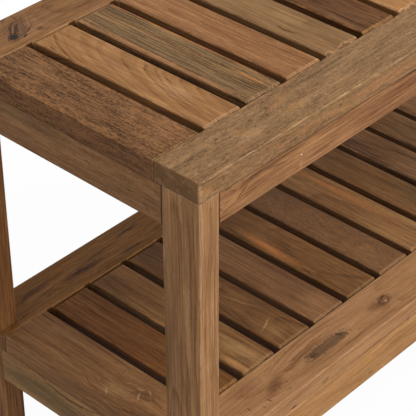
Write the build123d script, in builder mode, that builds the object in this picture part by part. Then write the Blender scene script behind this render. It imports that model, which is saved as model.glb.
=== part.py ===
from build123d import *

import os

# A side table of solid teak boards: four legs, a slatted top and a slatted shelf.
# Millimetres, +Z up. The origin is on the floor, under the middle of the table.
# The front long side faces -Y, and the left short side faces -X.

# Overall size
table_length = 720.0
table_depth = 350.0
table_height = 500.0
shelf_height = 159.0  # top face of the shelf above the floor

# Legs, which stand flush with the outside of the top and the shelf
leg_width = 26.5  # along the length of the table
leg_depth = 47.5  # along the depth of the table
leg_edge = 1.0
leg_top_edge = 0.6
foot_edge = 1.5

# Boards of the top and the shelf
board_thickness = 22.5
rail_lip = 9.0  # width of rail that runs past the inner side of a leg
end_board_width = 61.0
slat_width = 49.0
slat_gap_wanted = 9.5
slat_relief = 2.5  # the slats are this much thinner than the rails
slat_edge = 1.2  # along the long edges of a slat
slat_end_edge = 4.7  # the wide bevel across the ends of a slat
end_board_end_edge = 1.0  # across the ends of an end board
rail_edge = 2.0
rail_inner_edge = 0.6  # beside the ends of the slats and the end boards
corner_radius = 5.0  # rounding of the top's four corners, seen from above

# Aprons under the rails and the end boards
apron_thickness = 20.0
end_apron_height = 45.5
top_side_apron_height = 34.5
shelf_side_apron_height = 44.0
apron_edge = 1.0

# Tongues of the slats and end boards, in stopped grooves along the rails
tongue_thickness = 7.0
tongue_length = 8.5
groove_stop_wall = 8.0  # wood between a leg and the end of the groove

# Tenons of the aprons, in mortises in the legs
tenon_thickness = 8.0
tenon_shoulder = 6.0
side_tenon_length = 14.0
end_tenon_length = 20.0

# Dowels that hold the rails and end boards down on the legs and aprons
dowel_diameter = 6.0
side_dowel_count = 2
end_dowel_count = 2

# Clearances
fit_clearance = 0.1  # each side of a tongue, a tenon or a dowel
end_clearance = 0.5  # beyond the end of a tongue, a tenon or a dowel
shoulder_gap = 0.3  # between a slat's shoulder and the rail
notch_clearance = 0.2  # between a leg and the notch of a shelf rail

# Worked out from the sizes above
half_length = table_length / 2
half_depth = table_depth / 2
rail_width = leg_depth + rail_lip
inner_depth = table_depth - 2 * rail_width
shoulder_depth = inner_depth - 2 * shoulder_gap
slat_thickness = board_thickness - slat_relief
slat_span = table_length - 2 * end_board_width
slat_count = int((slat_span - slat_gap_wanted) // (slat_width + slat_gap_wanted))
slat_gap = (slat_span - slat_count * slat_width) / (slat_count + 1)
slat_pitch = slat_width + slat_gap
groove_end = half_length - leg_width - groove_stop_wall
groove_depth = tongue_length + end_clearance
groove_height = tongue_thickness + 2 * fit_clearance
leg_top_z = table_height - board_thickness
shelf_apron_top_z = shelf_height - board_thickness
side_apron_length = table_length - 2 * leg_width
end_apron_length = table_depth - 2 * leg_depth
apron_mid_x = half_length - apron_thickness / 2
apron_mid_y = half_depth - apron_thickness / 2
dowel_bite = board_thickness / 2
leg_dowel_x = half_length - (leg_width - side_tenon_length - end_clearance) / 2
leg_dowel_y = half_depth - (leg_depth - end_tenon_length - end_clearance) / 2
side_dowel_pitch = side_apron_length / side_dowel_count
end_dowel_pitch = inner_depth / end_dowel_count


def spread(count, pitch):
    """Evenly spaced places, centred on zero."""
    return [(i - (count - 1) / 2) * pitch for i in range(count)]


# Places of the dowels, seen from above
leg_dowel_spots = [(sx * leg_dowel_x, sy * leg_dowel_y) for sx in (-1, 1) for sy in (-1, 1)]
side_dowel_xs = spread(side_dowel_count, side_dowel_pitch)
end_dowel_ys = spread(end_dowel_count, end_dowel_pitch)
side_dowel_spots = [(x, sy * apron_mid_y) for x in side_dowel_xs for sy in (-1, 1)]
end_dowel_spots = [(sx * apron_mid_x, y) for y in end_dowel_ys for sx in (-1, 1)]


def spots_on(spots, axis, side):
    """The dowel places on one side of the table: axis 0 is left or right, 1 is front or back."""
    return [spot for spot in spots if spot[axis] * side > 0]


def drill(spots, z, facing):
    """Dowel holes from height z. facing is 1 for holes in a top face, -1 for holes in an underside."""
    planes = [Plane(origin=(x, y, z), z_dir=(0, 0, facing)) for x, y in spots]
    with Locations(*planes):
        Hole(dowel_diameter / 2 + fit_clearance, dowel_bite + end_clearance)


def make_leg(side_x, side_y):
    """One leg, with a mortise for each of the four aprons that meet it."""
    centre = (side_x * (half_length - leg_width / 2), side_y * (half_depth - leg_depth / 2))
    inner_x = side_x * (half_length - leg_width)
    inner_y = side_y * (half_depth - leg_depth)
    with BuildPart() as leg:
        with BuildSketch(Plane.XY):
            with Locations(centre):
                Rectangle(leg_width, leg_depth)
        extrude(amount=leg_top_z)
        chamfer(leg.edges().filter_by(Axis.Z), leg_edge)
        chamfer(leg.faces().sort_by(Axis.Z)[0].edges(), foot_edge)
        chamfer(leg.faces().sort_by(Axis.Z)[-1].edges(), leg_top_edge)
        for apron_top, side_height in (
            (leg_top_z, top_side_apron_height),
            (shelf_apron_top_z, shelf_side_apron_height),
        ):
            side_floor = apron_top - side_height + tenon_shoulder - fit_clearance
            with BuildSketch(Plane.XY.offset(side_floor)):
                with Locations((inner_x, side_y * apron_mid_y)):
                    Rectangle(
                        2 * (side_tenon_length + end_clearance),
                        tenon_thickness + 2 * fit_clearance,
                    )
            extrude(
                amount=side_height - 2 * tenon_shoulder + 2 * fit_clearance,
                mode=Mode.SUBTRACT,
            )
            end_floor = apron_top - end_apron_height + tenon_shoulder - fit_clearance
            with BuildSketch(Plane.XY.offset(end_floor)):
                with Locations((side_x * apron_mid_x, inner_y)):
                    Rectangle(
                        tenon_thickness + 2 * fit_clearance,
                        2 * (end_tenon_length + end_clearance),
                    )
            extrude(
                amount=end_apron_height - 2 * tenon_shoulder + 2 * fit_clearance,
                mode=Mode.SUBTRACT,
            )
        drill([(side_x * leg_dowel_x, side_y * leg_dowel_y)], leg_top_z, 1)
    return leg


def cut_groove(side_y, top_z):
    """The stopped groove in a rail's inner edge, which takes the tongues."""
    groove_floor = top_z - board_thickness / 2 - groove_height / 2
    with BuildSketch(Plane.XY.offset(groove_floor)) as groove:
        with Locations((0, side_y * inner_depth / 2)):
            Rectangle(2 * groove_end, 2 * groove_depth)
    extrude(groove.sketch, amount=groove_height, mode=Mode.SUBTRACT)


def make_top_rail(side_y):
    """A rail of the top. It lies on two legs and a side apron, and its outer corners are rounded."""
    with BuildPart() as rail:
        with BuildSketch(Plane.XY.offset(leg_top_z)) as outline:
            with Locations((0, side_y * (half_depth - rail_width / 2))):
                Rectangle(table_length, rail_width)
            outer_corners = outline.vertices().sort_by(Axis.Y)[:: -side_y][:2]
            fillet(outer_corners, corner_radius)
        extrude(amount=board_thickness)
        top_edges = rail.faces().sort_by(Axis.Z)[-1].edges()
        outer_edges = top_edges.sort_by(Axis.Y)[:: side_y][1:]
        fillet(outer_edges, rail_edge)
        top_long_edges = rail.faces().sort_by(Axis.Z)[-1].edges().filter_by(Axis.X)
        chamfer(top_long_edges.sort_by(Axis.Y)[::side_y][0], rail_inner_edge)
        cut_groove(side_y, table_height)
        drill(spots_on(leg_dowel_spots + side_dowel_spots, 1, side_y), leg_top_z, -1)
    return rail


def make_shelf_rail(side_y):
    """A rail of the shelf. It lies on a side apron, and is notched round the legs at its ends."""
    with BuildPart() as rail:
        with BuildSketch(Plane.XY.offset(shelf_apron_top_z)):
            with Locations((0, side_y * (half_depth - rail_width / 2))):
                Rectangle(table_length, rail_width)
            with Locations((-half_length, side_y * half_depth), (half_length, side_y * half_depth)):
                Rectangle(
                    2 * (leg_width + notch_clearance),
                    2 * (leg_depth + notch_clearance),
                    mode=Mode.SUBTRACT,
                )
        extrude(amount=board_thickness)
        outer_face = rail.faces().filter_by(Axis.Y).sort_by(Axis.Y)[:: -side_y][0]
        fillet(outer_face.edges().filter_by(Axis.X), rail_edge)
        top_long_edges = rail.faces().sort_by(Axis.Z)[-1].edges().filter_by(Axis.X)
        chamfer(top_long_edges.sort_by(Axis.Y)[::side_y][0], rail_inner_edge)
        cut_groove(side_y, shelf_height)
        drill(spots_on(side_dowel_spots, 1, side_y), shelf_apron_top_z, -1)
    return rail


def make_end_board(side_x, top_z):
    """An end board between the rails, flush with their ends, with a tongue along each end."""
    outer_x = side_x * half_length
    mid_x = outer_x - side_x * end_board_width / 2
    inner_x = half_length - end_board_width
    tongue_outer_x = groove_end - fit_clearance
    with BuildPart() as board:
        with BuildSketch(Plane.XY.offset(top_z - board_thickness)):
            with Locations((mid_x, 0)):
                Rectangle(end_board_width, shoulder_depth)
        extrude(amount=board_thickness)
        top_edges = board.faces().sort_by(Axis.Z)[-1].edges().filter_by(Axis.Y)
        long_edges = top_edges.sort_by(Axis.X)[:: -side_x]
        fillet(long_edges[0], rail_edge)
        chamfer(long_edges[1], slat_edge)
        chamfer(board.faces().sort_by(Axis.Z)[-1].edges().filter_by(Axis.X), end_board_end_edge)
        with BuildSketch(Plane.XY.offset(top_z - board_thickness / 2 - tongue_thickness / 2)):
            with Locations((side_x * (inner_x + tongue_outer_x) / 2, 0)):
                Rectangle(tongue_outer_x - inner_x, inner_depth + 2 * tongue_length)
        extrude(amount=tongue_thickness)
        drill(spots_on(end_dowel_spots, 0, side_x), top_z - board_thickness, -1)
    return board


def make_slat(mid_x, top_z):
    """A slat across the table, flush with the rails, with a tongue on each end."""
    with BuildPart() as slat:
        with BuildSketch(Plane.XY.offset(top_z - slat_thickness)):
            with Locations((mid_x, 0)):
                Rectangle(slat_width, shoulder_depth)
        extrude(amount=slat_thickness)
        chamfer(slat.faces().sort_by(Axis.Z)[-1].edges().filter_by(Axis.X), slat_end_edge)
        chamfer(slat.faces().sort_by(Axis.Z)[-1].edges().filter_by(Axis.Y), slat_edge)
        with BuildSketch(Plane.XY.offset(top_z - board_thickness / 2 - tongue_thickness / 2)):
            with Locations((mid_x, 0)):
                Rectangle(slat_width, inner_depth + 2 * tongue_length)
        extrude(amount=tongue_thickness)
    return slat


def make_side_apron(side_y, top_z, height):
    """A long apron between two legs, flush with their outer faces."""
    mid_y = side_y * apron_mid_y
    with BuildPart() as apron:
        with BuildSketch(Plane.XY.offset(top_z - height)):
            with Locations((0, mid_y)):
                Rectangle(side_apron_length, apron_thickness)
        extrude(amount=height)
        chamfer(apron.faces().sort_by(Axis.Z)[0].edges().filter_by(Axis.X), apron_edge)
        with BuildSketch(Plane.XY.offset(top_z - height + tenon_shoulder)):
            with Locations((0, mid_y)):
                Rectangle(side_apron_length + 2 * side_tenon_length, tenon_thickness)
        extrude(amount=height - 2 * tenon_shoulder)
        drill(spots_on(side_dowel_spots, 1, side_y), top_z, 1)
    return apron


def make_end_apron(side_x, top_z):
    """A short apron between two legs, flush with their outer faces."""
    mid_x = side_x * apron_mid_x
    with BuildPart() as apron:
        with BuildSketch(Plane.XY.offset(top_z - end_apron_height)):
            with Locations((mid_x, 0)):
                Rectangle(apron_thickness, end_apron_length)
        extrude(amount=end_apron_height)
        chamfer(apron.faces().sort_by(Axis.Z)[0].edges().filter_by(Axis.Y), apron_edge)
        with BuildSketch(Plane.XY.offset(top_z - end_apron_height + tenon_shoulder)):
            with Locations((mid_x, 0)):
                Rectangle(tenon_thickness, end_apron_length + 2 * end_tenon_length)
        extrude(amount=end_apron_height - 2 * tenon_shoulder)
        drill(spots_on(end_dowel_spots, 0, side_x), top_z, 1)
    return apron


def make_dowels(spots, z):
    """Dowels across one joint plane at height z, half of each on either side."""
    with BuildPart() as dowels:
        with BuildSketch(Plane.XY.offset(z - dowel_bite)):
            with Locations(*spots):
                Circle(dowel_diameter / 2)
        extrude(amount=2 * dowel_bite)
    return dowels


pieces = {}

# Legs
for side_y, depth_name in ((-1, "front"), (1, "back")):
    for side_x, length_name in ((-1, "left"), (1, "right")):
        pieces[f"leg_{depth_name}_{length_name}"] = make_leg(side_x, side_y)

# Rails and side aprons
for side_y, depth_name in ((-1, "front"), (1, "back")):
    pieces[f"top_rail_{depth_name}"] = make_top_rail(side_y)
    pieces[f"shelf_rail_{depth_name}"] = make_shelf_rail(side_y)
    pieces[f"top_apron_{depth_name}"] = make_side_apron(side_y, leg_top_z, top_side_apron_height)
    pieces[f"shelf_apron_{depth_name}"] = make_side_apron(
        side_y, shelf_apron_top_z, shelf_side_apron_height
    )

# End boards, end aprons and slats of the top and the shelf
for tier, top_z in (("top", table_height), ("shelf", shelf_height)):
    for side_x, length_name in ((-1, "left"), (1, "right")):
        pieces[f"{tier}_end_board_{length_name}"] = make_end_board(side_x, top_z)
        pieces[f"{tier}_apron_{length_name}"] = make_end_apron(side_x, top_z - board_thickness)
    for number, mid_x in enumerate(spread(slat_count, slat_pitch), start=1):
        pieces[f"{tier}_slat_{number:02d}"] = make_slat(mid_x, top_z)

# Dowels
pieces["top_dowels"] = make_dowels(leg_dowel_spots + side_dowel_spots + end_dowel_spots, leg_top_z)
pieces["shelf_dowels"] = make_dowels(side_dowel_spots + end_dowel_spots, shelf_apron_top_z)

os.makedirs("parts", exist_ok=True)
for name, piece in pieces.items():
    piece.part.label = name
    export_step(piece.part, f"parts/{name}.step")
    solids = piece.part.solids()
    print(f"{name}: {len(solids)} solid(s), {piece.part.volume / 1000:.1f} cm3")
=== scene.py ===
from functools import partial
from math import copysign, pi

import bpy
from bpy.props import FloatProperty, FloatVectorProperty, PointerProperty
from mathutils import Euler, Matrix, Vector


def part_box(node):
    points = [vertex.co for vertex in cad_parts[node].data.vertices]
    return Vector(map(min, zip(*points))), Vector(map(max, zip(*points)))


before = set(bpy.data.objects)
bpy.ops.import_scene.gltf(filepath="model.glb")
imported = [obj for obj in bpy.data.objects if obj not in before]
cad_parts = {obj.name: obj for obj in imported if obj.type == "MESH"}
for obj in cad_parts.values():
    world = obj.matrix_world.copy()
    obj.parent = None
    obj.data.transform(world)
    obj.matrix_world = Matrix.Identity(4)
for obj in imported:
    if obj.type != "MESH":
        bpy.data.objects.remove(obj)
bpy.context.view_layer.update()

bl_info = {
    "name": "Slatted teak side table",
    "version": (1, 0, 0),
    "blender": (4, 5, 0),
    "location": "3D View > Sidebar > Teak table",
    "description": "Gives every board of a slatted teak side table its own grain, marks and wear",
    "category": "Object",
}

MM = 0.001
WHITE = (1, 1, 1, 1)


# Settings


def linear(value):
    """A colour channel from 0 to 255 as it looks on screen, as a linear value."""
    value /= 255
    return value / 12.92 if value <= 0.04045 else ((value + 0.055) / 1.055) ** 2.4


def colour(name, description, *rgb):
    """A colour setting whose default is given as it looks on screen."""
    default = [linear(value) for value in rgb]
    return FloatVectorProperty(
        name=name, description=description, default=default, subtype="COLOR", min=0, max=1
    )


def distance(name, description, default):
    return FloatProperty(name=name, description=description, default=default, min=0, unit="LENGTH")


def share(name, description, default):
    return FloatProperty(
        name=name, description=description, default=default, min=0, max=1, subtype="FACTOR"
    )


def power(name, description, default):
    return FloatProperty(name=name, description=description, default=default, min=0)


def slant(name, description, degrees):
    return FloatProperty(name=name, description=description, default=degrees * pi / 180, subtype="ANGLE")


class TeakTones(bpy.types.PropertyGroup):
    """The tones of the boards. Each has the wood between the rings, and the grain lines in it."""

    golden: colour("Golden", "Light yellow-brown board", 168, 121, 74)
    golden_grain: colour("Golden grain", "Grain lines of a golden board", 122, 80, 42)
    tan: colour("Tan", "Ordinary teak brown", 153, 109, 69)
    tan_grain: colour("Tan grain", "Grain lines of a tan board", 103, 67, 38)
    sand: colour("Sand", "Board faded to grey-tan", 154, 116, 75)
    sand_grain: colour("Sand grain", "Grain lines of a sand board", 104, 76, 48)
    rosy: colour("Rosy", "Board with a warm pink cast", 156, 110, 71)
    rosy_grain: colour("Rosy grain", "Grain lines of a rosy board", 108, 68, 42)
    weathered: colour("Weathered", "Grey-olive board", 117, 92, 60)
    weathered_grain: colour("Weathered grain", "Grain lines of a weathered board", 78, 61, 39)
    russet: colour("Russet", "Dark red-brown board", 116, 76, 47)
    russet_grain: colour("Russet grain", "Grain lines of a russet board", 74, 46, 27)
    umber: colour("Umber", "Dark brown board with a dry face", 129, 91, 61)
    umber_grain: colour("Umber grain", "Grain lines of an umber board", 78, 51, 31)
    ember: colour("Ember", "Orange heartwood streak", 178, 114, 62)
    ember_grain: colour("Ember grain", "Grain lines of an orange streak", 120, 66, 32)
    knot: colour("Knot", "Heart of a knot, and bruised wood", 54, 40, 32)
    crack: colour("Crack", "Inside of a crack", 36, 23, 13)
    filler: colour("Filler", "Pale filler in an old nail hole", 214, 200, 184)
    # The arris tone is also painted on the front rail's left end as a highlight on its rounded arris
    arris: colour("Arris", "Wood planed or rubbed pale along the edges", 192, 150, 110)


class WoodSurface(bpy.types.PropertyGroup):
    """How the surface of the wood looks and feels."""

    relief: distance("Relief", "Depth of the open grain", 0.3 * MM)
    waviness: distance("Waviness", "How far the grain wanders sideways", 12 * MM)
    raggedness: distance("Raggedness", "How uneven the outline of a mark is", 4 * MM)
    wear_width: distance("Wear width", "Width of the rubbed band along an edge", 1.6 * MM)
    wear: share("Wear", "Strength of the rubbed edges", 0.5)
    # This setting also sets the painted shade in the grooves at the front ends of the slats, besides the
    # dark seams
    dirt_and_shade: share("Dirt", "How dark the gaps and seams are", 0.85)
    sheen: share("Sheen", "How much of the light the dry surface mirrors", 0.12)


class StudioLook(bpy.types.PropertyGroup):
    """The floor, the lamps and the room."""

    floor: colour("Floor", "Colour of the floor", 190, 189, 187)
    floor_glow: share("Floor glow", "How far the floor fades to white for the camera", 0.965)
    floor_size: distance("Floor size", "Length of the floor's sides", 12)
    key: power("Key lamp", "Strength of the large front lamp", 2.0)
    front: power("Front lamp", "Strength of the low front lamp", 0.8)
    fill: power("Fill lamp", "Strength of the lamp behind", 0.3)
    side: power("Side lamp", "Strength of the lamp on the left", 0.2)
    room: power("Room light", "Strength of the even light of the room", 0.4)


class CameraPlace(bpy.types.PropertyGroup):
    """Where the camera stands and how it is turned."""

    position: FloatVectorProperty(
        name="Position", description="Place of the lens", default=(-1.2465, -1.0072, 1.3537),
        subtype="TRANSLATION",
    )
    heading: slant("Heading", "Direction from +X towards +Y", 42.833)
    tilt: slant("Tilt", "Angle above the horizon", -35.864)
    roll: slant("Roll", "Turn about the line of sight", -0.235)
    lens: FloatProperty(name="Lens", description="Focal length in millimetres", default=146.24, min=1)
    sensor: FloatProperty(name="Sensor", description="Its width in millimetres", default=36, min=1)


# Nodes


def empty_tree(owner):
    """The node tree of a material or a world, with nothing in it."""
    owner.use_nodes = True
    owner.node_tree.nodes.clear()
    return owner.node_tree


def add_node(tree, kind, inputs=None, **settings):
    """Adds a node. An input given as a socket is linked, and any other is set."""
    node = tree.nodes.new(kind)
    for name, value in settings.items():
        setattr(node, name, value)
    fill_in(tree, node, inputs or {})
    return node


def fill_in(tree, node, inputs):
    """Links or sets the inputs of a node by name or number."""
    for name, value in inputs.items():
        if isinstance(value, bpy.types.NodeSocket):
            tree.links.new(value, node.inputs[name])
        else:
            node.inputs[name].default_value = value


def calc(tree, operation, *values):
    return add_node(tree, "ShaderNodeMath", dict(enumerate(values)), operation=operation).outputs[0]


def total(tree, *values):
    """The sum of several values."""
    result = values[0]
    for value in values[1:]:
        result = calc(tree, "ADD", result, value)
    return result


def product(tree, *values):
    """The product of several values."""
    result = values[0]
    for value in values[1:]:
        result = calc(tree, "MULTIPLY", result, value)
    return result


def vector_calc(tree, operation, *values):
    """A vector, or the number that a length or a dot product gives."""
    node = add_node(tree, "ShaderNodeVectorMath", dict(enumerate(values)), operation=operation)
    return node.outputs["Value" if operation in ("LENGTH", "DOT_PRODUCT") else "Vector"]


def scaled(tree, vector, factor):
    inputs = {0: vector, "Scale": factor}
    return add_node(tree, "ShaderNodeVectorMath", inputs, operation="SCALE").outputs[0]


def split(tree, vector):
    return add_node(tree, "ShaderNodeSeparateXYZ", {0: vector}).outputs


def join(tree, x, y, z):
    return add_node(tree, "ShaderNodeCombineXYZ", {0: x, 1: y, 2: z}).outputs[0]


def noise(tree, place, waves, detail=2.0, roughness=0.5, output="Fac"):
    """Noise from 0 to 1, with its waves per metre along, across and through a board."""
    stretched = vector_calc(tree, "MULTIPLY", place, waves)
    inputs = {"Vector": stretched, "Scale": 1.0, "Detail": detail, "Roughness": roughness}
    return add_node(tree, "ShaderNodeTexNoise", inputs).outputs[output]


def noise_shift(tree, place, waves, detail, roughness=0.5):
    """Noise in three directions, each centred on zero."""
    shift = noise(tree, place, waves, detail, roughness, "Color")
    return vector_calc(tree, "SUBTRACT", shift, (0.5, 0.5, 0.5))


def noise_along(tree, value, detail):
    """Noise from 0 to 1 along one value."""
    inputs = {"W": value, "Scale": 1.0, "Detail": detail}
    return add_node(tree, "ShaderNodeTexNoise", inputs, noise_dimensions="1D").outputs["Fac"]


def ramp(tree, value, low, high, to_low=0.0, to_high=1.0, smooth=True):
    inputs = {"Value": value, "From Min": low, "From Max": high, "To Min": to_low, "To Max": to_high}
    kind = "SMOOTHSTEP" if smooth else "LINEAR"
    return add_node(tree, "ShaderNodeMapRange", inputs, interpolation_type=kind).outputs[0]


def grain_noise(tree, place, waves, detail, roughness, low=0.3, high=0.7):
    """Noise stretched along the grain, with its contrast raised, centred on zero."""
    return ramp(tree, noise(tree, place, waves, detail, roughness), low, high, -0.5, 0.5)


def mix(tree, factor, a, b, blend="MIX"):
    node = add_node(tree, "ShaderNodeMix", data_type="RGBA", blend_type=blend)
    fill_in(tree, node, {0: factor, 6: a, 7: b})
    return node.outputs[2]


def tinted(tree, tone, tint):
    return mix(tree, 1.0, tone, tint, "MULTIPLY")


def new_group(name, inputs, outputs):
    """A node group with sockets, listed by kind, and the sockets at work inside it."""
    group = bpy.data.node_groups.new(name, "ShaderNodeTree")
    for side, sockets in (("INPUT", inputs), ("OUTPUT", outputs)):
        for kind, names in sockets.items():
            for socket in names:
                group.interface.new_socket(socket, in_out=side, socket_type=f"NodeSocket{kind}")
    given = group.nodes.new("NodeGroupInput").outputs
    result = group.nodes.new("NodeGroupOutput").inputs
    return group, given, result


def use_group(tree, name, inputs):
    """A node group at work in a material."""
    node = tree.nodes.new("ShaderNodeGroup")
    node.node_tree = bpy.data.node_groups[name]
    fill_in(tree, node, inputs)
    return node.outputs


# Waves per metre of the patterns in the wood, along, across and through a board
DRIFT_WAVES = (5, 14, 14)
SWIRL_WAVES = (28, 45, 45)
WOBBLE_WAVES = (20, 160, 160)
FADING_WAVES = (12, 50, 50)
STREAK_WAVES = (7, 110, 110)
FLECK_WAVES = (75, 480, 480)
CROWD_WAVES = (18, 70, 70)
MOTTLE_WAVES = (260, 680, 680)
PATCH_WAVES = (4.5, 19, 19)
CLOUD_WAVES = (14, 60, 60)
WEAR_WAVES = (60, 160, 160)
SPLINTER_WAVES = (18, 42, 42)
OUTLINE_WAVES = (75, 75, 75)
SPECK_WAVES = (300, 300, 300)

# Waves per metre of the fibres and pores across a board. Along it, they follow its fibre length
FIBRES_ACROSS = 470
PORES_ACROSS = 720


def make_teak_group():
    """Solid wood cut from a log: rings round a heart line, streaks, pores and patches."""
    t, given, result = new_group(
        "Teak board",
        {
            "Vector": ("Board", "Seed", "Heart", "Lean"),
            "Float": (
                "Waviness", "Ring width", "Swell", "Figure", "Streaks", "Pores", "Patches", "Mottle",
                "Fibre", "Curl", "Curl at", "Curl reach",
            ),
            "Color": ("Light", "Grain", "Cast", "Tint"),
        },
        {"Color": ("Color",), "Float": ("Texture", "Roughness", "Height")},
    )
    place = vector_calc(t, "ADD", given["Board"], given["Seed"])
    drift = noise_shift(t, place, DRIFT_WAVES, 3)
    along = split(t, given["Board"])[0]
    swirl = noise_shift(t, place, SWIRL_WAVES, 3, 0.6)
    from_curl = calc(t, "ABSOLUTE", calc(t, "SUBTRACT", along, given["Curl at"]))
    beyond = calc(t, "SUBTRACT", from_curl, given["Curl reach"])
    swirl = scaled(t, swirl, product(t, ramp(t, beyond, -25 * MM, 15 * MM, 1.0, 0.0), given["Curl"]))
    drift = vector_calc(t, "ADD", scaled(t, drift, given["Waviness"]), swirl)
    bent = vector_calc(t, "ADD", given["Board"], drift)
    fibre_place = vector_calc(t, "ADD", place, drift)

    # Rings round the heart line
    heart = vector_calc(t, "ADD", given["Heart"], scaled(t, given["Lean"], along))
    away = vector_calc(t, "MULTIPLY", vector_calc(t, "SUBTRACT", bent, heart), (0, 1, 1))
    from_heart = total(t, vector_calc(t, "LENGTH", away), given["Swell"])
    count = calc(t, "DIVIDE", from_heart, given["Ring width"])
    uneven = noise_along(t, product(t, count, 0.37), 2.0)
    wobble = noise(t, place, WOBBLE_WAVES, 4, 0.6)
    count = total(t, count, product(t, uneven, 1.9), product(t, wobble, 0.45))
    in_ring = calc(t, "FRACT", count)
    rim = product(t, calc(t, "POWER", in_ring, 3.0), ramp(t, in_ring, 0.9, 1.0, 1.0, 0.0))
    which = add_node(t, "ShaderNodeTexWhiteNoise", {"W": calc(t, "FLOOR", count)}, noise_dimensions="1D")
    fading = ramp(t, noise(t, place, FADING_WAVES, 3), 0.32, 0.68, 0.3, 1.4)
    rings = product(t, rim, ramp(t, which.outputs["Value"], 0, 1, 0.3, 1.3), fading, given["Figure"])
    band = ramp(t, noise_along(t, product(t, count, 0.8), 4.0), 0.28, 0.72, -0.5, 0.5)

    # Fibres, pores and patches
    broad = grain_noise(t, fibre_place, STREAK_WAVES, 8, 0.75)
    shortness = calc(t, "DIVIDE", 1.0, given["Fibre"])
    fibre_waves = join(t, shortness, FIBRES_ACROSS, FIBRES_ACROSS)
    pore_waves = join(t, product(t, shortness, 2.2), PORES_ACROSS, PORES_ACROSS)
    fine = grain_noise(t, fibre_place, fibre_waves, 2, 0.6, 0.36, 0.64)
    pores = ramp(t, noise(t, fibre_place, pore_waves, 3, 0.6), 0.5, 0.66)
    fleck = ramp(t, noise(t, bent, FLECK_WAVES, 3, 0.6), 0.55, 0.68)
    crowd = ramp(t, noise(t, place, CROWD_WAVES, 3), 0.36, 0.64, 0.15, 1.4)
    pores = product(t, pores, ramp(t, in_ring, 0.0, 1.0, 1.0, 0.5), crowd)
    mottle = grain_noise(t, fibre_place, MOTTLE_WAVES, 2, 0.6, 0.34, 0.66)
    patch = ramp(t, noise(t, place, PATCH_WAVES, 4, 0.6), 0.42, 0.60)
    cloud = grain_noise(t, place, CLOUD_WAVES, 5, 0.7)

    dark = total(
        t,
        0.24,
        product(t, rings, 1.1),
        product(t, broad, given["Streaks"]),
        product(t, fine, given["Streaks"], 1.25),
        product(t, pores, given["Pores"], 0.5),
        product(t, fleck, -0.22),
        product(t, total(t, band, cloud), given["Figure"], 0.55),
        product(t, mottle, given["Mottle"]),
    )
    dark = ramp(t, dark, -0.4, 1.4, -0.4, 1.4, smooth=False)

    light = mix(t, product(t, patch, given["Patches"]), given["Light"], given["Cast"])
    pale = total(t, 1.0, product(t, ramp(t, dark, 0.1, -0.4), 0.3))
    deep = calc(t, "SUBTRACT", 1.0, product(t, ramp(t, dark, 0.8, 1.4), 0.4))
    wood = scaled(t, mix(t, dark, light, given["Grain"]), product(t, pale, deep))
    t.links.new(tinted(t, wood, given["Tint"]), result["Color"])
    t.links.new(ramp(t, dark, -0.4, 1.4, 1.35, 0.55, smooth=False), result["Texture"])
    t.links.new(ramp(t, dark, 0.0, 1.0, 0.58, 0.76, smooth=False), result["Roughness"])
    height = total(
        t,
        product(t, fine, 0.5),
        product(t, broad, 0.5),
        product(t, pores, given["Pores"], -1.0),
        product(t, rings, -0.9),
        product(t, mottle, 0.35),
    )
    t.links.new(height, result["Height"])


# What dark places, and the painted shade in the gaps and grooves, do to the colour of the wood
BEVEL_LINE_SHADE = (0.55, 0.48, 0.40, 1)
# Painted shade in the groove where a slat's front end meets the rail
BEVEL_GROOVE_PAINTED_SHADE = (0.36, 0.31, 0.24, 1)
END_GRAIN_SHADE = (0.66, 0.595, 0.53, 1)
SEAM_SHADE = (0.22, 0.18, 0.14, 1)
# Painted shade, partly real soiling, on the walls of the gaps
GRIME_AND_PAINTED_SHADE = (0.46, 0.38, 0.27, 1)
# Painted shade on a rail's wall where it closes a gap
GAP_END_PAINTED_SHADE = (0.30, 0.25, 0.18, 1)

# The side of a board that faces a gap is 1 or -1, or one of these
BOTH_SIDES = 0.0
NO_SIDE = 2.0


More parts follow.
